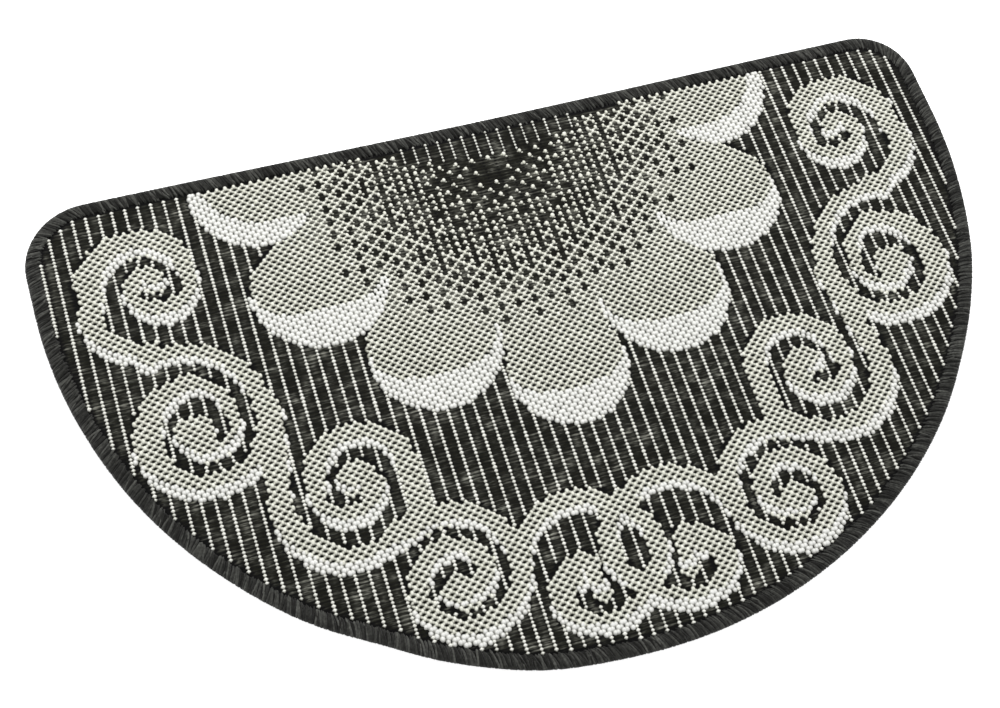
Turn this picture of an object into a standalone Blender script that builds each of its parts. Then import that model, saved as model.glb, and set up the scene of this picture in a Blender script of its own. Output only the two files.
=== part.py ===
"""A half-round woven doormat: a flat-woven field whose cut rim is pinched and whipped over with edging yarn.

Metres, +Z up. The straight edge lies at +Y and the round one at -Y. The origin is under the middle of the
mat's bounding box, on the floor that the mat lies on.
"""

import math

import bmesh
import bpy
from mathutils import Vector

# The cut outline, to the outside of the edging.
ROUND_RADIUS = 0.3995
STRAIGHT_ABOVE_CENTRE = 0.0908
LEFT_CORNER_RADIUS = 0.057
RIGHT_CORNER_RADIUS = 0.047
STRAIGHT_EDGE_HOLLOW = 0.0025
POINT_SPACING = 0.0115

# Where the scissors strayed from the round: direction from the centre, half spread, and how far outwards.
CUT_DENTS = (
    {"at_deg": -122.0, "spread_deg": 5.5, "out": -0.0030},
    {"at_deg": -104.0, "spread_deg": 6.0, "out": 0.0020},
    {"at_deg": -152.0, "spread_deg": 9.0, "out": 0.0007},
    {"at_deg": -36.0, "spread_deg": 6.0, "out": -0.0010},
    {"at_deg": -21.0, "spread_deg": 5.0, "out": 0.0008},
)

# The woven field, and the rim that the edging squeezes thinner.
FIELD_THICKNESS = 0.0050
RIM_BOTTOM = 0.0014
RIM_TOP = 0.0041
RIM_INSET = 0.0028
PINCHED_WIDTH = 0.0098
SHOULDER_WIDTH = 0.0045

# The edging yarn, whipped round the rim as one continuous lip.
EDGING_HEIGHT = 0.0064
EDGING_WIDTH = 0.0120
SEAT_GAP = 0.0003
LOWER_WRAP = RIM_BOTTOM - SEAT_GAP
LIP_STEPS = 6

FIELD_COLOUR = (0.040, 0.040, 0.036, 1.0)
EDGING_COLOUR = (0.026, 0.026, 0.024, 1.0)


def clear_scene():
    """Removes whatever the scene starts with."""
    for old in list(bpy.data.objects):
        bpy.data.objects.remove(old)


def cloth_material(name, colour, roughness):
    """A plain matt finish in the yarn's own colour."""
    material = bpy.data.materials.new(name)
    material.use_nodes = True
    shader = material.node_tree.nodes["Principled BSDF"]
    shader.inputs["Base Color"].default_value = colour
    shader.inputs["Roughness"].default_value = roughness
    shader.inputs["Metallic"].default_value = 0.0
    return material


def round_reach(angle):
    """How far the round edge lies from its centre, in the direction of that angle."""
    reach = ROUND_RADIUS
    for dent in CUT_DENTS:
        off = (math.degrees(angle) - dent["at_deg"]) / dent["spread_deg"]
        reach += dent["out"] * math.exp(-off * off)
    return reach


def arc(centre, radius, start_deg, end_deg):
    """Points along a corner, without its last one."""
    start = math.radians(start_deg)
    sweep = math.radians(end_deg - start_deg)
    steps = max(4, round(abs(sweep) * radius / (0.6 * POINT_SPACING)))
    turns = [start + sweep * i / steps for i in range(steps)]
    return [(centre[0] + radius * math.cos(t), centre[1] + radius * math.sin(t)) for t in turns]


def run(start, end, hollow=0.0):
    """Points along a nearly straight cut, without its last one. hollow draws its middle towards the mat."""
    length = math.dist(start, end)
    steps = max(2, round(length / POINT_SPACING))
    shares = [i / steps for i in range(steps)]
    return [
        (
            start[0] + (end[0] - start[0]) * s,
            start[1] + (end[1] - start[1]) * s - hollow * math.sin(math.pi * s) ** 2,
        )
        for s in shares
    ]


def outer_outline():
    """The mat's outline, counter-clockwise from its left end, with its bounding box centred on the origin."""
    steps = round(math.pi * ROUND_RADIUS / POINT_SPACING)
    turns = [-math.pi + math.pi * i / steps for i in range(steps)]
    points = [(round_reach(t) * math.cos(t), round_reach(t) * math.sin(t)) for t in turns]

    top = STRAIGHT_ABOVE_CENTRE
    right_centre = (ROUND_RADIUS - RIGHT_CORNER_RADIUS, top - RIGHT_CORNER_RADIUS)
    left_centre = (LEFT_CORNER_RADIUS - ROUND_RADIUS, top - LEFT_CORNER_RADIUS)
    points += run((ROUND_RADIUS, 0.0), (ROUND_RADIUS, right_centre[1]))
    points += arc(right_centre, RIGHT_CORNER_RADIUS, 0.0, 90.0)
    points += run((right_centre[0], top), (left_centre[0], top), STRAIGHT_EDGE_HOLLOW)
    points += arc(left_centre, LEFT_CORNER_RADIUS, 90.0, 180.0)
    points += run((-ROUND_RADIUS, left_centre[1]), (-ROUND_RADIUS, 0.0))

    middle_x = (min(x for x, _ in points) + max(x for x, _ in points)) / 2
    middle_y = (min(y for _, y in points) + max(y for _, y in points)) / 2
    return [Vector((x - middle_x, y - middle_y)) for x, y in points]


def drawn_in(points, distance):
    """The outline moved that far towards the mat's middle, square to itself."""
    moved = []
    for i, point in enumerate(points):
        along = points[(i + 1) % len(points)] - points[i - 1]
        inwards = Vector((-along.y, along.x)).normalized()
        moved.append(point + inwards * distance)
    return moved


def closed_curve(name, points):
    """A flat closed curve through the points."""
    curve = bpy.data.curves.new(name, "CURVE")
    curve.dimensions = "2D"
    spline = curve.splines.new("POLY")
    spline.points.add(len(points) - 1)
    for target, point in zip(spline.points, points):
        target.co = (point[0], point[1], 0.0, 1.0)
    spline.use_cyclic_u = True
    return curve


def mesh_from_curve(curve, collection):
    """The curve's evaluated shape as a mesh object of the same name, with loose caps welded."""
    drawn = bpy.data.objects.new(curve.name + "_drawn", curve)
    collection.objects.link(drawn)
    bpy.context.view_layer.update()
    evaluated = drawn.evaluated_get(bpy.context.evaluated_depsgraph_get())
    mesh = bpy.data.meshes.new_from_object(evaluated)
    made = bpy.data.objects.new(curve.name, mesh)
    made.matrix_world = drawn.matrix_world
    collection.objects.link(made)
    bpy.data.objects.remove(drawn)
    shape = bmesh.new()
    shape.from_mesh(mesh)
    bmesh.ops.remove_doubles(shape, verts=shape.verts, dist=1e-6)
    shape.to_mesh(mesh)
    shape.free()
    return made


def woven_field(outline, collection):
    """The woven cloth: an extruded outline, thin at its rim and stepped up to full thickness inside it."""
    curve = closed_curve("woven_field", drawn_in(outline, RIM_INSET))
    curve.fill_mode = "BOTH"
    curve.extrude = (RIM_TOP - RIM_BOTTOM) / 2
    field = mesh_from_curve(curve, collection)
    field.location.z = (RIM_TOP + RIM_BOTTOM) / 2

    shape = bmesh.new()
    shape.from_mesh(field.data)
    bmesh.ops.dissolve_limit(shape, angle_limit=math.radians(1.0), verts=[], edges=flat_edges(shape))
    for side, rise in ((1, FIELD_THICKNESS - RIM_TOP), (-1, RIM_BOTTOM)):
        face = next(f for f in shape.faces if f.normal.z * side > 0.9)
        bmesh.ops.inset_region(shape, faces=[face], thickness=PINCHED_WIDTH, use_even_offset=True)
        bmesh.ops.inset_region(
            shape, faces=[face], thickness=SHOULDER_WIDTH, depth=rise, use_even_offset=True
        )
    shape.to_mesh(field.data)
    shape.free()
    return field


def flat_edges(shape):
    """The edges that only divide the flat upper and lower faces."""
    return [
        e for e in shape.edges if len(e.link_faces) == 2 and all(abs(f.normal.z) > 0.9 for f in e.link_faces)
    ]


def lip_profile():
    """The section of the edging: x runs inwards from the outline, y upwards. It wraps the rim, bottom to top."""
    rim = RIM_INSET - SEAT_GAP
    inner_top = RIM_TOP + SEAT_GAP
    crown_centre = 0.45 * EDGING_WIDTH
    points = [(EDGING_WIDTH, 0.0), (EDGING_WIDTH, LOWER_WRAP), (rim, LOWER_WRAP)]
    points += [(rim, inner_top), (EDGING_WIDTH, inner_top)]
    # The upper side swells over the rim and rolls down to the floor at the outline.
    crown = EDGING_HEIGHT - inner_top
    for i in range(LIP_STEPS):
        share = (i + 1) / (LIP_STEPS + 1)
        x = EDGING_WIDTH + (crown_centre - EDGING_WIDTH) * share
        points.append((x, inner_top + crown * (0.4 + 0.6 * math.sin(share * math.pi / 2))))
    middle = EDGING_HEIGHT / 2
    for i in range(LIP_STEPS + 1):
        turn = math.pi / 2 + math.pi * i / LIP_STEPS
        x = middle * (1 + math.cos(turn))
        points.append((x, middle + middle * math.sin(turn)))
    return points[::-1]


def overlocked_edge(outline, collection, helpers):
    """The edging yarn as one closed lip, its section swept round the outline."""
    section = bpy.data.objects.new("edging_section", closed_curve("edging_section", lip_profile()))
    section.hide_render = True
    section.display_type = "WIRE"
    helpers.objects.link(section)
    curve = closed_curve("overlocked_edge", outline)
    curve.bevel_mode = "OBJECT"
    curve.bevel_object = section
    return mesh_from_curve(curve, collection)


def main():
    clear_scene()
    mat = bpy.data.collections.new("half_round_doormat")
    helpers = bpy.data.collections.new("sections")
    bpy.context.scene.collection.children.link(mat)
    bpy.context.scene.collection.children.link(helpers)

    outline = outer_outline()
    field = woven_field(outline, mat)
    field.data.materials.append(cloth_material("woven_yarn", FIELD_COLOUR, 0.85))
    edge = overlocked_edge(outline, mat, helpers)
    edge.data.shade_smooth()
    edge.data.set_sharp_from_angle(angle=math.radians(50.0))
    edge.data.materials.append(cloth_material("edging_yarn", EDGING_COLOUR, 0.8))


main()
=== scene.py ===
"""A half-round woven doormat: charcoal flatweave, a shaded half flower, scrolls and a whipped edge."""

import math
from collections import namedtuple

import bpy
import numpy as np
from mathutils import Matrix, Vector


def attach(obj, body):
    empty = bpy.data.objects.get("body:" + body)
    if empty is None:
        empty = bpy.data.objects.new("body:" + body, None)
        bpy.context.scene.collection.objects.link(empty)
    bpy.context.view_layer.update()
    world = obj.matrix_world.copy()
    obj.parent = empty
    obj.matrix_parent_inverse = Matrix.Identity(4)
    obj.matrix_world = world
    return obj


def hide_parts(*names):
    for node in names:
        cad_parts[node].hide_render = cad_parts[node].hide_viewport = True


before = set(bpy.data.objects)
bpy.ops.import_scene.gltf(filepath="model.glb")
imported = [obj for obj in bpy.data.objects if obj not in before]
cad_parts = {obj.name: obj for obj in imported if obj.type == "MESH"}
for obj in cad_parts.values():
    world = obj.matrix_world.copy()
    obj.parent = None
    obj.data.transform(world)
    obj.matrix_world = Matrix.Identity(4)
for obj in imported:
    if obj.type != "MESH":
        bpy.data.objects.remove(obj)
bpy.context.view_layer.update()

# The view: a camera standing at the mat's round side, looking down on it, turned a little to the left and
# tipped clockwise, as a person would hold it over a mat on a studio floor.
camera_place = Vector((-0.3517, -0.5308, 1.2628))
camera_right = Vector((0.94830, -0.30326, 0.09363))
camera_down = Vector((-0.23421, -0.86773, -0.43840))
camera_ahead = Vector((0.21419, 0.39380, -0.89389))
sensor_width = 36.0
lens_length = 62.58

scene = bpy.context.scene
camera_data = bpy.data.cameras.new("view_camera")
camera_data.sensor_width = sensor_width
camera_data.lens = lens_length
camera = bpy.data.objects.new("view_camera", camera_data)
camera_turn = Matrix((camera_right, -camera_down, -camera_ahead)).transposed()
camera.matrix_world = Matrix.Translation(camera_place) @ camera_turn.to_4x4()
scene.collection.objects.link(camera)
scene.camera = camera

# The studio: a bright, even room with one large soft lamp high over the straight edge, so that the yarns
# shade their own front sides a little and the mat throws hardly any shadow.
room_light = 0.66
lamp_watts = 35.0
lamp_size = 1.0
lamp_place = Vector((0.08, 1.08, 1.7))

scene.view_settings.view_transform = "Standard"
world = bpy.data.worlds.new("studio_room")
world.use_nodes = True
room = world.node_tree.nodes["Background"]
room.inputs["Color"].default_value = (1.0, 1.0, 1.0, 1.0)
room.inputs["Strength"].default_value = room_light
scene.world = world

lamp_data = bpy.data.lights.new("soft_lamp", "AREA")
lamp_data.energy = lamp_watts
lamp_data.size = lamp_size
lamp = bpy.data.objects.new("soft_lamp", lamp_data)
lamp.location = lamp_place
lamp.rotation_euler = (-lamp_place).to_track_quat("-Z", "Y").to_euler()
scene.collection.objects.link(lamp)

# The floor: a smooth white studio board, much wider than the view and a hair below the mat. It glows a
# little of its own, so that it stays white from edge to edge.
floor_half = 12.0
floor_drop = 0.0002
floor_glow = 0.70

floor_mesh = bpy.data.meshes.new("studio_floor")
floor_corners = ((-1, -1), (1, -1), (1, 1), (-1, 1))
floor_mesh.from_pydata([(x * floor_half, y * floor_half, 0) for x, y in floor_corners], [], [(0, 1, 2, 3)])
floor_paint = bpy.data.materials.new("white_board")
floor_paint.use_nodes = True
board = floor_paint.node_tree.nodes["Principled BSDF"]
board.inputs["Base Color"].default_value = (0.93, 0.93, 0.93, 1.0)
board.inputs["Roughness"].default_value = 0.9
board.inputs["Emission Color"].default_value = (1.0, 1.0, 1.0, 1.0)
board.inputs["Emission Strength"].default_value = floor_glow
floor_mesh.materials.append(floor_paint)
studio_floor = bpy.data.objects.new("studio_floor", floor_mesh)
studio_floor.location.z = -floor_drop
scene.collection.objects.link(studio_floor)

# The cut edge of the cloth, read off the solid edging at mid height, where it stands out furthest. It is
# kept as evenly spaced points that run counter-clockwise, each with the direction that points into the mat.
edge_middle_height = 0.0032
height_slack = 1e-5
same_place = 1e-4
ordering_place = np.array([0.0, 0.06])
direction_span = 4
fine_edge_count = 1200

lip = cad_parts["overlocked_edge"]
lip_points = np.array([v.co[:] for v in lip.data.vertices])
rim_points = lip_points[np.abs(lip_points[:, 2] - edge_middle_height) < height_slack][:, :2]
rim_points = rim_points[np.argsort(np.arctan2(*(rim_points - ordering_place).T[::-1]))]
rim_points = rim_points[np.hypot(*(rim_points - np.roll(rim_points, 1, 0)).T) > same_place]
rim_steps = np.hypot(*(np.roll(rim_points, -1, 0) - rim_points).T)
rim_length = rim_steps.sum()
rim_places = np.concatenate([[0.0], np.cumsum(rim_steps)])
closed_rim = np.vstack([rim_points, rim_points[:1]])


def spaced(count):
    """The edge at that many evenly spaced places, and the directions into the mat there."""
    places = np.arange(count) * rim_length / count
    points = np.column_stack([np.interp(places, rim_places, closed_rim[:, axis]) for axis in (0, 1)])
    forward = np.roll(points, -direction_span, 0) - np.roll(points, direction_span, 0)
    forward /= np.hypot(*forward.T)[:, None]
    return points, np.column_stack([-forward[:, 1], forward[:, 0]])


fine_edge, fine_inwards = spaced(fine_edge_count)


def depth_inside(x, y):
    """How far each place lies inside the cut edge, negative outside it."""
    depth = np.empty(x.size)
    for i, place in enumerate(np.column_stack([x.ravel(), y.ravel()])):
        away = place - fine_edge
        nearest = np.argmin((away**2).sum(1))
        depth[i] = away[nearest] @ fine_inwards[nearest]
    return depth.reshape(x.shape)


# The loom's setting: warps 3.6 mm apart and wefts 3.1 mm apart, counted out from a crossing near the middle.
# Each crossing is a cell that shows one colour of yarn, and none shows where the edging covers the rim.
warp = 0.003595
weft = 0.00312
first_warp = 0.0021
first_weft = 0.0022
warps_from_middle = 112
wefts_from_middle = 79
covered_rim = 0.0125

warps = np.arange(-warps_from_middle, warps_from_middle + 1)
wefts = np.arange(-wefts_from_middle, wefts_from_middle)
grid_i, grid_j = np.meshgrid(warps, wefts, indexing="ij")
cell_x = first_warp + grid_i * warp
cell_y = first_weft + grid_j * weft
woven = depth_inside(cell_x, cell_y) > covered_rim

# The half flower: seven overlapping oval petals round the middle of the straight edge. Each is a plain oval
# with a squarer oval set higher inside it, and the crescent left between the two is woven in whiter yarn.
# A tip is the height where the crescent ends, on the outer and on the inner side of its petal.
petals = (
    {
        "centre": (0.205, 0.232), "half": (0.055, 0.063), "outer_tip": 0.240, "inner_tip": 0.192,
        "lit": (0.193, 0.240), "lit_half": (0.055, 0.050), "power": 2.0,
    },
    {
        "centre": (0.175, 0.120), "half": (0.057, 0.054), "outer_tip": 0.148, "inner_tip": 0.116,
        "lit": (0.175, 0.135), "lit_half": (0.054, 0.036), "power": 3.0,
    },
    {
        "centre": (0.100, 0.045), "half": (0.056, 0.057), "outer_tip": 0.058, "inner_tip": 0.050,
        "lit": (0.100, 0.058), "lit_half": (0.053, 0.038), "power": 3.0,
    },
    {
        "centre": (0.000, 0.000), "half": (0.051, 0.052), "outer_tip": 0.014, "inner_tip": 0.014,
        "lit": (0.000, 0.020), "lit_half": (0.050, 0.040), "power": 3.0,
    },
)
flower_middle = (0.0, 0.235)
flower_half = (0.215, 0.215)
shadow_middle = (-0.0065, 0.197)
shadow_half = (0.173, 0.156)
shadow_even_above = 0.160
shadow_uneven_below = 0.110
stamen_bottom = 0.2065
stamen_bow = 0.0110
stamen_half_width = 0.078


def oval(x, y, centre, half, power=2.0):
    """Where an oval, or a squarer one of a higher power, covers those places."""
    across = np.abs((x - centre[0]) / half[0])
    along = np.abs((y - centre[1]) / half[1])
    return across**power + along**power < 1.0


def flower(x, y):
    """Where the flower lies, where its crescents lie, and how full its weave is, from 0 dark to 1 pale."""
    out = np.abs(x)
    inside = oval(x, y, flower_middle, flower_half)
    crescent = np.zeros(x.shape, bool)
    taken = np.zeros(x.shape, bool)
    for petal in petals:
        covered = oval(out, y, petal["centre"], petal["half"])
        lit = oval(out, y, petal["lit"], petal["lit_half"], petal["power"])
        tip = np.where(out > petal["centre"][0], petal["outer_tip"], petal["inner_tip"])
        crescent |= covered & ~lit & (y < tip) & ~taken
        taken |= covered
        inside |= covered
    # The shadow at the flower's heart leans to the left below, and is even on both sides above.
    evened = np.clip((y - shadow_uneven_below) / (shadow_even_above - shadow_uneven_below), 0.0, 1.0)
    shift = shadow_middle[0] * evened
    across = (x - shadow_middle[0] + shift) / (shadow_half[0] - shift)
    fullness = np.hypot(across, (y - shadow_middle[1]) / shadow_half[1])
    return inside, crescent & inside, np.clip(fullness, 0.0, 1.0)


def stamen_strip(x, y):
    """Where the stamens lie: a strip along the straight edge whose lower end bows down in the middle."""
    across = np.abs(x) / stamen_half_width
    return (across < 1.0) & (y > stamen_bottom + stamen_bow * across**2)


# The scrolls: volutes struck as a draughtsman does it, from parts of circles of falling radius, and alike on
# both sides. Each stroke of the compass has its half width where it runs upright and where it runs level,
# and its underside is woven in white to a depth that grows from the top of an arch to the foot of a bowl.
arch_white = 0.0070
bowl_white = 0.0100
stroke_step = 0.002
bar_steps = 40
ink_spread = 0.0004

Stroke = namedtuple("Stroke", "centre radius degrees upright level white", defaults=(arch_white,))
Bar = namedtuple("Bar", "start end half white", defaults=(bowl_white,))

scroll_strokes = (
    # The top scroll and its tail.
    Stroke((0.3135, 0.155), 0.0415, (-12, 140), upright=0.0100, level=0.0140, white=0.0105),
    Stroke((0.3309, 0.155), 0.0560, (150, 180), upright=0.0072, level=0.0265, white=0.0105),
    Stroke((0.3135, 0.155), 0.0420, (20, 75), upright=0.0130, level=0.0140, white=0.0105),
    Stroke((0.2985, 0.155), 0.0250, (180, 360), upright=0.0058, level=0.0122),
    Stroke((0.3105, 0.156), 0.0095, (0, 180), upright=0.0085, level=0.0100),
    Stroke((0.3180, 0.137), 0.0400, (-90, 5), upright=0.0105, level=0.0100),
    Stroke((0.3055, 0.030), 0.0605, (75, 185), upright=0.0090, level=0.0088),
    # The side scroll.
    Stroke((0.2935, 0.022), 0.0492, (170, 270), upright=0.0096, level=0.0108),
    Stroke((0.2945, 0.0172), 0.0440, (-90, 90), upright=0.0125, level=0.0110, white=0.0095),
    Stroke((0.3001, 0.0309), 0.0296, (90, 180), upright=0.0068, level=0.0085),
    Stroke((0.2938, 0.0230), 0.0248, (162, 285), upright=0.0062, level=0.0066),
    Stroke((0.3012, 0.018), 0.0085, (0, 360), upright=0.0085, level=0.0095),
    # The lower scroll and the wave below it.
    Stroke((0.1860, -0.050), 0.0370, (0, 185), upright=0.0100, level=0.0105),
    Stroke((0.2000, -0.055), 0.0250, (180, 360), upright=0.0065, level=0.0105),
    Stroke((0.1900, -0.049), 0.0085, (0, 360), upright=0.0085, level=0.0070),
    Stroke((0.2000, -0.062), 0.0510, (-135, -10), upright=0.0108, level=0.0100),
    Stroke((0.2015, -0.0635), 0.0520, (-80, -5), upright=0.0102, level=0.0105, white=0.0120),
    # The bottom scroll.
    Stroke((0.1370, -0.145), 0.0480, (55, 270), upright=0.0090, level=0.0110),
    Stroke((0.1370, -0.158), 0.0340, (-90, 90), upright=0.0090, level=0.0105),
    Stroke((0.1370, -0.146), 0.0210, (90, 270), upright=0.0085, level=0.0090),
    Stroke((0.1400, -0.160), 0.0080, (0, 360), upright=0.0080, level=0.0080),
    # The pair of crossing scrolls in the middle.
    Stroke((0.0380, -0.165), 0.0520, (0, 137), upright=0.0080, level=0.0105),
    Stroke((-0.018, -0.162), 0.0375, (-64, 64), upright=0.0088, level=0.0090),
    Stroke((0.0380, -0.165), 0.0500, (220, 272), upright=0.0090, level=0.0092),
    Stroke((0.0410, -0.188), 0.0260, (-92, 92), upright=0.0112, level=0.0085),
    Stroke((0.0400, -0.188), 0.0185, (40, 88), upright=0.0110, level=0.0115),
)
scroll_bars = (
    Bar((0.2400, 0.025), (0.2535, -0.060), half=0.0098),
    Bar((0.1490, -0.050), (0.1490, -0.088), half=0.0100),
    Bar((0.0375, -0.170), (0.0360, -0.192), half=0.0072, white=0.0160),
)


def scroll_brush():
    """Every place that the brush passes on the right half, its half width there and the depth of white."""
    places = []
    for stroke in scroll_strokes:
        start, end = stroke.degrees
        sweep = math.radians(end - start)
        count = max(2, round(sweep * stroke.radius / stroke_step))
        angle = math.radians(start) + sweep * np.linspace(0.0, 1.0, count)
        x = stroke.centre[0] + stroke.radius * np.cos(angle)
        y = stroke.centre[1] + stroke.radius * np.sin(angle)
        half = stroke.upright + (stroke.level - stroke.upright) * np.sin(angle) ** 2
        white = stroke.white + (bowl_white - stroke.white) * (1.0 - np.sin(angle)) / 2
        places.append(np.column_stack([x, y, half, white]))
    for bar in scroll_bars:
        share = np.linspace(0.0, 1.0, bar_steps)[:, None]
        middle = np.array(bar.start) * (1 - share) + np.array(bar.end) * share
        places.append(np.column_stack([middle, np.full(bar_steps, bar.half), np.full(bar_steps, bar.white)]))
    return np.vstack(places)


brush = scroll_brush()


def scrolls(x, y):
    """Where the scrolls lie, and how deep their undersides are white."""
    covered = np.zeros(x.shape, bool)
    white = np.zeros(x.shape)
    for brush_x, brush_y, half, depth in brush:
        for side in (1, -1):
            marked = (x - side * brush_x) ** 2 + (y - brush_y) ** 2 < (half + ink_spread) ** 2
            covered |= marked
            white[marked] = depth
    return covered, white


def design(x, y):
    """What is drawn at those places: flower, crescents, fullness, scrolls, their undersides and stamens."""
    flower_here, crescents, fullness = flower(x, y)
    scrolls_here, white_depth = scrolls(x, y)
    undersides = scrolls_here & ~scrolls(x, y - white_depth)[0]
    return flower_here, crescents, fullness, scrolls_here, undersides, flower_here & stamen_strip(x, y)


# The ground cloth: a heavy charcoal weft-faced flatweave. Its wefts make level ribs, and each is pulled down
# where a pale warp passes over it. It is pinched thinner at its rim, where the edging yarn grips it.
cloth_top = 0.0046
cloth_bottom = 0.0002
rib_height = 0.00080
pulled_down = 0.00045
pressed_down = 0.0009
closed_weave = 0.98
underside_lift = 0.25
underside_ribs = 0.4
cloth_inset = 0.0030
pinch_from = 0.0160
pinch_to = 0.0115
pinched_top = 0.0037
pinched_bottom = 0.0015
column_pitch = 1.5 * warp
row_pitch = 0.5 * weft
columns_from_middle = 76
rows_from_middle = 160


def mesh_object(name, points, faces):
    """A smooth mesh piece that rides on the mat."""
    mesh = bpy.data.meshes.new(name)
    mesh.from_pydata(points.tolist(), [], faces.tolist())
    mesh.update()
    mesh.shade_smooth()
    made = bpy.data.objects.new(name, mesh)
    scene.collection.objects.link(made)
    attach(made, "root")
    return made


def ground_cloth():
    """The ribbed sheet, its underside and the stepped rim that the edging hides."""
    columns = first_warp + column_pitch * np.arange(-columns_from_middle, columns_from_middle + 1)
    rows = first_weft + row_pitch * np.arange(-rows_from_middle, rows_from_middle + 1)
    x, y = np.meshgrid(columns, rows, indexing="ij")
    depth = depth_inside(x, y)
    grip = np.clip((pinch_from - depth) / (pinch_from - pinch_to), 0.0, 1.0)
    rib = np.where(np.arange(len(rows)) % 2 == 0, 0.5, -0.5) * rib_height
    dip = np.where(np.arange(len(columns)) % 2 == 0, -0.5, 0.5) * pulled_down
    covered, _, fullness = flower(x, y)
    netted = scrolls(x, y)[0] | covered & (fullness > closed_weave)
    # Under the net the cloth sinks below the valley height, so the eyes of the net take the yarn's painted
    # shade.
    top = cloth_top + rib[None, :] + dip[:, None] - pressed_down * netted
    bottom = cloth_bottom + underside_lift * rib_height - rib[None, :] * underside_ribs
    top = top * (1 - grip) + pinched_top * grip
    bottom = bottom * (1 - grip) + pinched_bottom * grip

    kept = depth > cloth_inset
    number = np.arange(x.size).reshape(x.shape)
    whole = kept[:-1, :-1] & kept[1:, :-1] & kept[1:, 1:] & kept[:-1, 1:]
    quads = np.stack([number[:-1, :-1], number[1:, :-1], number[1:, 1:], number[:-1, 1:]], -1)[whole]
    edges = np.vstack([quads[:, [k, (k + 1) % 4]] for k in range(4)])
    _, where, times = np.unique(np.sort(edges, 1), axis=0, return_index=True, return_counts=True)
    rim = edges[where[times == 1]]
    under = x.size
    sides = np.column_stack([rim[:, 1], rim[:, 0], rim[:, 0] + under, rim[:, 1] + under])
    faces = np.vstack([quads, quads[:, ::-1] + under, sides])
    points = np.vstack([np.column_stack([x.ravel(), y.ravel(), z.ravel()]) for z in (top, bottom)])
    used, faces = np.unique(faces, return_inverse=True)
    made = mesh_object("ground_cloth", points[used], faces.reshape(-1, 4))
    below = (np.arange(len(made.data.polygons)) >= len(quads)).astype(int)
    made.data.polygons.foreach_set("material_index", below)
    return made


# A Mix node that mixes colours has its two inputs and its result at these sockets.
mix_first, mix_second, mix_result = 6, 7, 2


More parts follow.
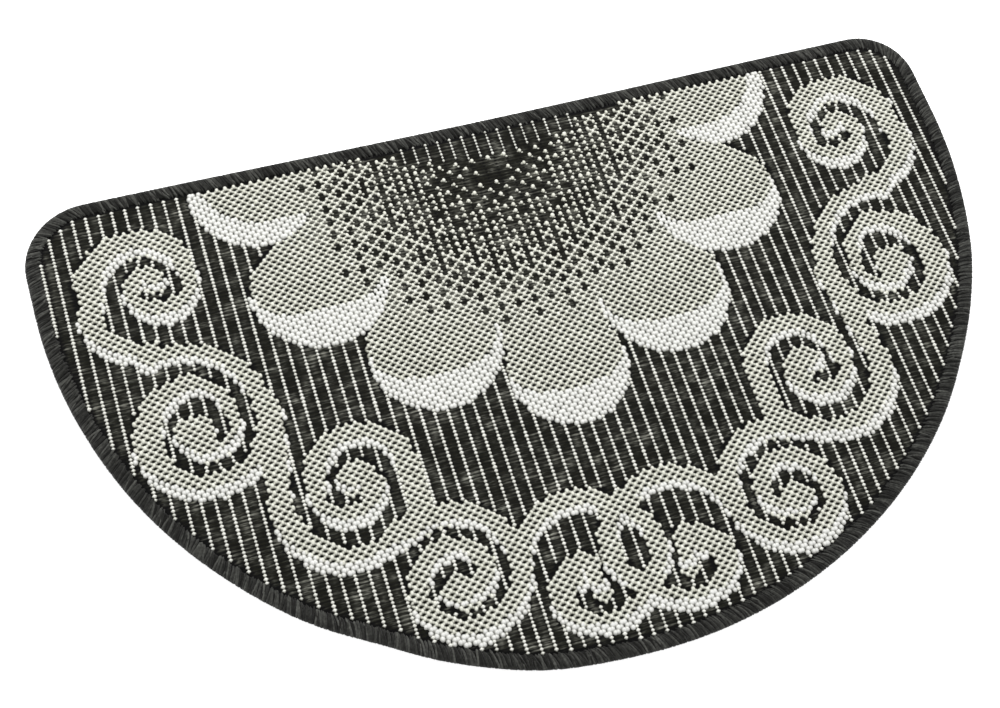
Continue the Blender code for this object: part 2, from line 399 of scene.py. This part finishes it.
def yarn_shading():
    """Spun yarn: fibres that run one way, patches and strands that differ, and painted shade that darkens its
    valleys.
    """
    group = bpy.data.node_groups.new("spun_yarn", "ShaderNodeTree")
    for name, kind, value in (
        ("Light", "NodeSocketColor", (0.8, 0.8, 0.8, 1.0)),
        ("Dark", "NodeSocketColor", (0.4, 0.4, 0.4, 1.0)),
        ("Valley", "NodeSocketColor", (0.1, 0.1, 0.1, 1.0)),
        ("Valley Height", "NodeSocketFloat", 0.0042),
        ("Crown Height", "NodeSocketFloat", 0.0058),
        ("Fibre Scale", "NodeSocketVector", (1.0, 1.0, 1.0)),
        ("Patch Scale", "NodeSocketFloat", 60.0),
        ("Patch Share", "NodeSocketFloat", 0.4),
        ("Strand Share", "NodeSocketFloat", 0.0),
        ("Sharpness", "NodeSocketFloat", 1.0),
    ):
        socket = group.interface.new_socket(name, in_out="INPUT", socket_type=kind)
        socket.default_value = value
    group.interface.new_socket("Color", in_out="OUTPUT", socket_type="NodeSocketColor")
    group.interface.new_socket("Height", in_out="OUTPUT", socket_type="NodeSocketFloat")
    nodes, links = group.nodes, group.links
    given = nodes.new("NodeGroupInput")
    result = nodes.new("NodeGroupOutput")
    place = nodes.new("ShaderNodeTexCoord")

    # Fibres: fine noise, drawn out along the yarn.
    stretch = nodes.new("ShaderNodeVectorMath")
    stretch.operation = "MULTIPLY"
    links.new(place.outputs["Object"], stretch.inputs[0])
    links.new(given.outputs["Fibre Scale"], stretch.inputs[1])
    fibres = nodes.new("ShaderNodeTexNoise")
    fibres.inputs["Scale"].default_value = 1.0
    fibres.inputs["Detail"].default_value = 3.0
    links.new(stretch.outputs["Vector"], fibres.inputs["Vector"])
    fibre_contrast = nodes.new("ShaderNodeMapRange")
    fibre_contrast.inputs["From Min"].default_value = 0.30
    fibre_contrast.inputs["From Max"].default_value = 0.70
    links.new(fibres.outputs["Fac"], fibre_contrast.inputs["Value"])
    links.new(fibre_contrast.outputs["Result"], result.inputs["Height"])

    # Patches: the shade changes from one place in the cloth to the next.
    patches = nodes.new("ShaderNodeTexNoise")
    patches.inputs["Detail"].default_value = 2.0
    links.new(place.outputs["Object"], patches.inputs["Vector"])
    links.new(given.outputs["Patch Scale"], patches.inputs["Scale"])
    patch_contrast = nodes.new("ShaderNodeMapRange")
    patch_contrast.inputs["From Min"].default_value = 0.30
    patch_contrast.inputs["From Max"].default_value = 0.70
    links.new(patches.outputs["Fac"], patch_contrast.inputs["Value"])
    patched = nodes.new("ShaderNodeMix")
    links.new(given.outputs["Patch Share"], patched.inputs["Factor"])
    links.new(fibre_contrast.outputs["Result"], patched.inputs["A"])
    links.new(patch_contrast.outputs["Result"], patched.inputs["B"])

    # Strands: a piece may hold a tone of its own for each turn of yarn.
    strand = nodes.new("ShaderNodeAttribute")
    strand.attribute_name = "strand_tone"
    stranded = nodes.new("ShaderNodeMix")
    links.new(given.outputs["Strand Share"], stranded.inputs["Factor"])
    links.new(patched.outputs["Result"], stranded.inputs["A"])
    links.new(strand.outputs["Fac"], stranded.inputs["B"])

    # The two shades of the yarn. A high sharpness leaves few light places.
    sparse = nodes.new("ShaderNodeMath")
    sparse.operation = "POWER"
    links.new(stranded.outputs["Result"], sparse.inputs[0])
    links.new(given.outputs["Sharpness"], sparse.inputs[1])
    colour = nodes.new("ShaderNodeMix")
    colour.data_type = "RGBA"
    links.new(sparse.outputs["Value"], colour.inputs["Factor"])
    links.new(given.outputs["Dark"], colour.inputs[mix_first])
    links.new(given.outputs["Light"], colour.inputs[mix_second])

    # Painted shade: the colour darkens from the crown height down to the valley height, where shade falls.
    level = nodes.new("ShaderNodeSeparateXYZ")
    links.new(place.outputs["Object"], level.inputs["Vector"])
    rise = nodes.new("ShaderNodeMapRange")
    rise.interpolation_type = "SMOOTHSTEP"
    links.new(level.outputs["Z"], rise.inputs["Value"])
    links.new(given.outputs["Valley Height"], rise.inputs["From Min"])
    links.new(given.outputs["Crown Height"], rise.inputs["From Max"])
    valley_shaded = nodes.new("ShaderNodeMix")
    valley_shaded.data_type = "RGBA"
    links.new(rise.outputs["Result"], valley_shaded.inputs["Factor"])
    links.new(given.outputs["Valley"], valley_shaded.inputs[mix_first])
    links.new(colour.outputs[mix_result], valley_shaded.inputs[mix_second])
    links.new(valley_shaded.outputs[mix_result], result.inputs["Color"])
    return group


spun_yarn = yarn_shading()


def yarn(
    name, light, dark, valley_shade, heights, fibre_scale, patch_scale, patch_share, bump, sheen,
    strand_share=0.0, sharpness=1.0,
):
    """A matt yarn finish in two tones of one colour, with painted shade toward its valleys. heights are those
    of its valleys and its crowns.
    """
    material = bpy.data.materials.new(name)
    material.use_nodes = True
    nodes, links = material.node_tree.nodes, material.node_tree.links
    shader = nodes["Principled BSDF"]
    shader.inputs["Roughness"].default_value = 0.9
    shader.inputs["Sheen Weight"].default_value = sheen
    shader.inputs["Sheen Roughness"].default_value = 0.5
    shader.inputs["Specular IOR Level"].default_value = 0.1
    fibre = nodes.new("ShaderNodeGroup")
    fibre.node_tree = spun_yarn
    fibre.inputs["Light"].default_value = (*light, 1.0)
    fibre.inputs["Dark"].default_value = (*dark, 1.0)
    # The valley colour is painted shade, not a colour of the yarn itself.
    fibre.inputs["Valley"].default_value = (*valley_shade, 1.0)
    fibre.inputs["Valley Height"].default_value = heights[0]
    fibre.inputs["Crown Height"].default_value = heights[1]
    fibre.inputs["Fibre Scale"].default_value = fibre_scale
    fibre.inputs["Patch Scale"].default_value = patch_scale
    fibre.inputs["Patch Share"].default_value = patch_share
    fibre.inputs["Strand Share"].default_value = strand_share
    fibre.inputs["Sharpness"].default_value = sharpness
    raised = nodes.new("ShaderNodeBump")
    raised.inputs["Strength"].default_value = bump
    raised.inputs["Distance"].default_value = 0.0004
    links.new(fibre.outputs["Color"], shader.inputs["Base Color"])
    links.new(fibre.outputs["Height"], raised.inputs["Height"])
    links.new(raised.outputs["Normal"], shader.inputs["Normal"])
    return material


# The charcoal weft's valley colour is painted shade: dark lines between the ribs, and dark eyes under the
# net.
charcoal_yarn = yarn(
    "charcoal_weft",
    light=(0.340, 0.340, 0.290),
    dark=(0.008, 0.008, 0.005),
    valley_shade=(0.003, 0.003, 0.003),
    heights=(0.0041, 0.0050),
    fibre_scale=(90.0, 700.0, 700.0),
    patch_scale=80.0,
    patch_share=0.45,
    bump=0.6,
    sheen=0.03,
    sharpness=4.5,
)
# The underside's valley colour is painted shade between its ribs.
underside_yarn = yarn(
    "charcoal_underside",
    light=(0.090, 0.090, 0.078),
    dark=(0.020, 0.020, 0.017),
    valley_shade=(0.006, 0.006, 0.005),
    heights=(0.0007, 0.0003),
    fibre_scale=(90.0, 700.0, 700.0),
    patch_scale=80.0,
    patch_share=0.45,
    bump=0.6,
    sheen=0.03,
)

ground = ground_cloth()
ground.data.materials.append(charcoal_yarn)
ground.data.materials.append(underside_yarn)
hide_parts("woven_field")

# The cream net: thick spun yarn that comes up through the ground in short floats, between the counted
# warps and on every other crossing, like the black squares of a chessboard. Each float is a bead with arms
# that reach down to its two lower neighbours, so that side by side they make an open net with dark eyes.
pale_shift = 0.5 * warp
pale_margin = 0.0008
dots_until = 0.46
dots_softness = 0.78
crosses_from = 0.47
crosses_softness = 0.85
bead_rim_height = 0.0042
shoulder_half = 0.55
shoulder_height = 0.74
crown_growth = 1.5
scroll_plump = 1.023
cream_half = (0.00175, 0.00248)
cream_crown = 0.0061
cream_sides = 10
arm_half = (0.0028, 0.00142)
arm_crown = 0.0053
arm_sides = 8
arm_turn = math.atan2(weft, warp)

pale_x = cell_x + pale_shift
flower_cells, crescent_cells, fullness, scroll_cells, underside_cells, stamen_cells = design(pale_x, cell_y)
chess = (grid_i + grid_j) % 2 == 1
pale_places = chess & (depth_inside(pale_x, cell_y) > covered_rim + pale_margin)


def filling_order(a, b):
    """The order in which a weaver fills a block of four by four cells, as shares from 0 to 1."""
    a, b = a & 3, b & 3
    c = a ^ b
    return ((c & 1) * 8 + (b & 1) * 4 + (c & 2) + (b & 2) // 2 + 0.5) / 16


# The flower's heart is shaded: from its dark middle outwards single dots come in first, on every second
# cell, and then the crosses between them, until the net is whole.
dot_cells = (grid_i % 2 == 0) & (grid_j % 2 == 1)
dots = (fullness / dots_until) ** dots_softness
crosses = (np.clip(fullness - crosses_from, 0.0, 1.0) / (1.0 - crosses_from)) ** crosses_softness
dot_filled = filling_order(grid_i // 2 + 1, -(grid_j // 2)) < dots
cross_filled = filling_order(grid_i // 2 + 2, 3 - grid_j // 2) < crosses
filled = np.where(dot_cells, dot_filled, cross_filled)
shaded = flower_cells & ~crescent_cells & ~stamen_cells
white_cells = crescent_cells | underside_cells
cream_net = pale_places & ~white_cells & (scroll_cells | shaded & filled)
pale_net = cream_net | pale_places & white_cells


def neighbour(cells, right, up):
    """Whether the cell so many steps to the right and up is one of those cells."""
    return np.roll(cells, (-right, -up), (0, 1))


right_arms = cream_net & neighbour(pale_net, 1, -1) | pale_net & neighbour(cream_net, 1, -1)
left_arms = cream_net & neighbour(pale_net, -1, -1) | pale_net & neighbour(cream_net, -1, -1)
lone = cream_net & ~(right_arms | left_arms | neighbour(left_arms, 1, 1) | neighbour(right_arms, -1, 1))
plump = np.where(scroll_cells, scroll_plump, 1.0)

seeded = np.random.default_rng(11)


def round_bead(half, crown, sides, centre=(0.0, 0.0), turn=0.0, pointed=1.0):
    """A domed bead, plain or drawn out to four points. Its shoulder has half as many sides as its rim."""
    cos_turn, sin_turn = math.cos(turn), math.sin(turn)

    def ring(size, height, angles):
        placed = []
        for t in angles:
            x = size * half[0] * math.copysign(abs(math.cos(t)) ** pointed, math.cos(t))
            y = size * half[1] * math.copysign(abs(math.sin(t)) ** pointed, math.sin(t))
            turned_x = centre[0] + x * cos_turn - y * sin_turn
            turned_y = centre[1] + x * sin_turn + y * cos_turn
            placed.append((turned_x, turned_y, height))
        return placed

    angles = 2 * math.pi * np.arange(sides) / sides
    shoulder = bead_rim_height + shoulder_height * (crown - bead_rim_height)
    points = ring(1.0, bead_rim_height, angles) + ring(shoulder_half, shoulder, angles[::2])
    points.append((*centre, crown))
    half_sides = sides // 2
    top = sides + half_sides
    faces = []
    for k in range(half_sides):
        a, b, c = 2 * k, 2 * k + 1, (2 * k + 2) % sides
        inner_a, inner_b = sides + k, sides + (k + 1) % half_sides
        faces += [(a, b, inner_a), (b, inner_b, inner_a), (b, c, inner_b), (inner_a, inner_b, top)]
    return np.array(points), np.array(faces)


def stamp(name, material, bead, cells, x, spread, lean, plump=1.0):
    """One bead set down on each of the cells, as one piece. Sizes vary by spread, and turns by lean."""
    points, faces = bead
    count = np.count_nonzero(cells)
    uneven = 1.0 + seeded.normal(0.0, spread, (count, 1))
    size = np.broadcast_to(plump, cells.shape)[cells][:, None] * uneven
    turn = seeded.normal(0.0, lean, (count, 1))
    local_x = size * (points[:, 0] * np.cos(turn) - points[:, 1] * np.sin(turn))
    local_y = size * (points[:, 0] * np.sin(turn) + points[:, 1] * np.cos(turn))
    height = bead_rim_height + (points[:, 2] - bead_rim_height) * (1.0 + crown_growth * (size - 1.0))
    placed = np.stack([local_x + x[cells][:, None], local_y + cell_y[cells][:, None], height], -1)
    numbered = faces[None] + len(points) * np.arange(count)[:, None, None]
    made = mesh_object(name, placed.reshape(-1, 3), numbered.reshape(-1, 3))
    made.data.materials.append(material)
    return made


# The cream yarn's valley colour is painted shade: the beads' flanks and the low arms are darker than their
# crowns.
cream_yarn = yarn(
    "cream_yarn",
    light=(0.90, 0.90, 0.82),
    dark=(0.62, 0.62, 0.53),
    valley_shade=(0.060, 0.060, 0.042),
    heights=(0.0042, 0.0058),
    fibre_scale=(500.0, 900.0, 700.0),
    patch_scale=190.0,
    patch_share=0.55,
    bump=0.35,
    sheen=0.1,
)

cream_bead = round_bead(cream_half, cream_crown, cream_sides)
cream_beads = stamp(
    "cream_net", cream_yarn, cream_bead, cream_net & ~lone, pale_x, spread=0.05, lean=0.10, plump=plump
)
right_arm = round_bead(arm_half, arm_crown, arm_sides, (0.5 * warp, -0.5 * weft), -arm_turn)
right_arm_beads = stamp(
    "cream_net_right_arms", cream_yarn, right_arm, right_arms, pale_x, spread=0.04, lean=0.03, plump=plump
)
left_arm = round_bead(arm_half, arm_crown, arm_sides, (-0.5 * warp, -0.5 * weft), arm_turn)
left_arm_beads = stamp(
    "cream_net_left_arms", cream_yarn, left_arm, left_arms, pale_x, spread=0.04, lean=0.03, plump=plump
)

# The white grains: whiter yarn that lies on the counted warps themselves, one grain on each weft, in the
# crescents and along the undersides of the scrolls. They lean together in pairs and leave slits between.
grain_half = (0.00225, 0.00250)
grain_crown = 0.0059
grain_sides = 10
grain_lean = 0.18 * warp

# The white yarn's valley colour is painted shade on the grains' flanks.
white_yarn = yarn(
    "white_yarn",
    light=(0.86, 0.86, 0.83),
    dark=(0.67, 0.67, 0.645),
    valley_shade=(0.37, 0.37, 0.34),
    heights=(0.0044, 0.0058),
    fibre_scale=(1100.0, 450.0, 700.0),
    patch_scale=190.0,
    patch_share=0.45,
    bump=0.35,
    sheen=0.1,
)

flower_warps, crescent_warps, _, scroll_warps, underside_warps, stamen_warps = design(cell_x, cell_y)
white_grains = woven & (crescent_warps | underside_warps)
grain_x = cell_x + np.where(chess, grain_lean, -grain_lean)
grain_bead = round_bead(grain_half, grain_crown, grain_sides)
white_beads = stamp("white_grains", white_yarn, grain_bead, white_grains, grain_x, spread=0.05, lean=0.10)

# The shaded heart of the flower: a bead that stands alone is a short knot with a low wing at its left, and
# where a bead has no neighbour to reach for at its lower right, its yarn ends in a small second float there.
knot_half = (0.00195, 0.00235)
wing_half = (0.0014, 0.0012)
wing_crown = 0.0052
wing_offset = (-0.0018, -0.0004)
wing_sides = 8
tail_half = (0.0014, 0.0012)
tail_crown = 0.0054
tail_offset = (0.0016, -0.0025)
tail_sides = 8

knot_bead = round_bead(knot_half, cream_crown, cream_sides)
knot_beads = stamp("heart_knots", cream_yarn, knot_bead, lone, pale_x, spread=0.07, lean=0.15)
wing_bead = round_bead(wing_half, wing_crown, wing_sides, wing_offset)
wing_beads = stamp("heart_wings", cream_yarn, wing_bead, lone, pale_x, spread=0.08, lean=0.10)
tail_bead = round_bead(tail_half, tail_crown, tail_sides, tail_offset)
tails = cream_net & shaded & ~right_arms
tail_beads = stamp("heart_tails", cream_yarn, tail_bead, tails, pale_x, spread=0.08, lean=0.06)

# The dark floats: where a pale float is left out of the shaded heart, the charcoal ground bulges up in its
# place as a low bead of its own yarn.
dark_half = (0.0018, 0.0022)
dark_crown = 0.0048
dark_sides = 10

dark_bead = round_bead(dark_half, dark_crown, dark_sides)
left_out = pale_places & shaded & ~filled
dark_beads = stamp("heart_dark_floats", charcoal_yarn, dark_bead, left_out, pale_x, spread=0.05, lean=0.10)

# The pin stripes: on every third warp of the bare ground the white yarn shows as a pointed grain over each
# weft, one below the other. Finer ones at the straight edge are the flower's stamens.
pin_every = 3
pin_half = (0.00215, 0.0019)
pin_crown = 0.0057
stamen_half = (0.0016, 0.0017)
stamen_crown = 0.0055
pin_sides = 12
pin_pointed = 1.8

# The pin yarn's valley colour is painted shade on the grains' flanks.
pin_yarn = yarn(
    "pin_yarn",
    light=(0.92, 0.92, 0.87),
    dark=(0.64, 0.64, 0.58),
    valley_shade=(0.14, 0.14, 0.11),
    heights=(0.0042, 0.0056),
    fibre_scale=(1200.0, 400.0, 700.0),
    patch_scale=150.0,
    patch_share=0.5,
    bump=0.35,
    sheen=0.1,
)

pin_warps = woven & (grid_i % pin_every == 0)
pin_bead = round_bead(pin_half, pin_crown, pin_sides, pointed=pin_pointed)
pins = pin_warps & ~scroll_warps & ~flower_warps
pin_beads = stamp("pin_stripes", pin_yarn, pin_bead, pins, cell_x, spread=0.07, lean=0.05)
stamen_bead = round_bead(stamen_half, stamen_crown, pin_sides, pointed=pin_pointed)
stamens = pin_warps & stamen_warps
stamen_beads = stamp("stamen_stripes", pin_yarn, stamen_bead, stamens, cell_x, spread=0.07, lean=0.05)

# The edging's core: charcoal yarn that has packed together under the whipping. Its section is given by how
# far each corner lies inside the cut edge and how high.
core_stations = 420
core_section = np.array([
    (0.0112, 0.0044), (0.0095, 0.0052), (0.0050, 0.0055), (0.0021, 0.0050), (0.0005, 0.0032),
    (0.0019, 0.0013), (0.0045, 0.0008), (0.0112, 0.0010), (0.0112, 0.0024),
])


def edging_core():
    """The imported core, swept round the rim."""
    points, inwards = spaced(core_stations)
    ring = points[:, None, :] + inwards[:, None, :] * core_section[None, :, :1]
    height = np.broadcast_to(core_section[None, :, 1:], ring.shape[:2] + (1,))
    number = np.arange(ring.shape[0] * ring.shape[1]).reshape(ring.shape[:2])
    after = np.roll(number, -1, 0)
    quads = np.stack([number, np.roll(number, -1, 1), np.roll(after, -1, 1), after], -1)
    return mesh_object("edging_core", np.concatenate([ring, height], -1).reshape(-1, 3), quads.reshape(-1, 4))


# The core yarn's valley colour is painted shade low on the core.
core_yarn = yarn(
    "edging_core_yarn",
    light=(0.014, 0.014, 0.013),
    dark=(0.006, 0.006, 0.005),
    valley_shade=(0.004, 0.004, 0.004),
    heights=(0.001, 0.005),
    fibre_scale=(700.0, 700.0, 700.0),
    patch_scale=120.0,
    patch_share=0.4,
    bump=0.5,
    sheen=0.1,
)

core = edging_core()
core.data.materials.append(core_yarn)

# The whipped edge: charcoal yarn thrown round the cut rim, turn beside turn, each turn leaning a little. A
# turn's path is given by how far inside the cut edge it lies, how high, and its share of the lean.
wrap_spacing = 0.0016
wrap_half = 0.0009
wrap_sides = 5
wrap_lean = -0.0052
lean_spread = 0.35
thickness_spread = 0.10
reach_spread = 0.04
reach_from = 0.009
shift_spread = 0.0003
end_taper = 0.45
strand_width = 1.15
strand_flatness = 0.72
wrap_path = np.array([
    (0.0125, 0.0041, 1.0), (0.0112, 0.0050, 0.9), (0.0083, 0.0056, 0.6), (0.0044, 0.0057, 0.3),
    (0.0017, 0.0049, 0.1), (0.0005, 0.0032, 0.0), (0.0017, 0.0017, -0.1), (0.0044, 0.0012, -0.3),
    (0.0112, 0.0012, -0.7),
])


def edging_wraps():
    """Every turn of the yarn as a five-sided strand from the cloth's top, round the rim, to its underside."""
    count = round(rim_length / wrap_spacing)
    points, inwards = spaced(count)
    forward = np.column_stack([inwards[:, 1], -inwards[:, 0]])
    depth, height, lean_share = wrap_path.T

    lean = wrap_lean * (1.0 + seeded.normal(0.0, lean_spread, (count, 1)))
    thick = wrap_half * (1.0 + seeded.normal(0.0, thickness_spread, (count, 1)))
    reach = 1.0 + seeded.normal(0.0, reach_spread, (count, 1)) * (depth > reach_from)
    shift = seeded.normal(0.0, shift_spread, (count, 1))
    sideways = lean * lean_share + shift
    inner = inwards[:, None] * (depth * reach)[..., None]
    middle = points[:, None] + inner + forward[:, None] * sideways[..., None]

    run = np.gradient(wrap_path[:, :2], axis=0)
    run /= np.hypot(*run.T)[:, None]
    out_inwards, out_up = -run[:, 1], run[:, 0]
    angle = 2 * math.pi * np.arange(wrap_sides) / wrap_sides
    taper = np.ones(len(wrap_path))
    taper[[0, -1]] = end_taper
    radius = thick[:, :, None] * taper[None, :, None]
    across = radius * np.cos(angle)
    outwards = radius * strand_flatness * np.sin(angle)
    xy = (
        middle[:, :, None]
        + forward[:, None, None] * across[..., None] * strand_width
        + inwards[:, None, None] * (outwards * out_inwards[:, None])[..., None]
    )
    z = height[:, None] + outwards * out_up[:, None]
    placed = np.concatenate([xy, z[..., None]], -1)

    stations = len(wrap_path)
    number = np.arange(count * stations * wrap_sides).reshape(count, stations, wrap_sides)
    a, b = number[:, :-1], number[:, 1:]
    quads = np.stack([a, b, np.roll(b, -1, 2), np.roll(a, -1, 2)], -1)
    made = mesh_object("edging_wraps", placed.reshape(-1, 3), quads.reshape(-1, 4))
    tone = np.repeat(seeded.uniform(0.0, 1.0, count), stations * wrap_sides)
    made.data.attributes.new("strand_tone", "FLOAT", "POINT").data.foreach_set("value", tone)
    return made


# The edging yarn's valley colour is painted shade on the low parts of each turn, round the rim and below.
edging_yarn = yarn(
    "edging_yarn",
    light=(0.120, 0.122, 0.110),
    dark=(0.010, 0.010, 0.009),
    valley_shade=(0.006, 0.006, 0.006),
    heights=(0.0008, 0.0052),
    fibre_scale=(500.0, 500.0, 500.0),
    patch_scale=200.0,
    patch_share=0.4,
    bump=0.3,
    sheen=0.1,
    strand_share=0.6,
    sharpness=2.6,
)

wraps = edging_wraps()
wraps.data.materials.append(edging_yarn)
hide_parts("overlocked_edge")
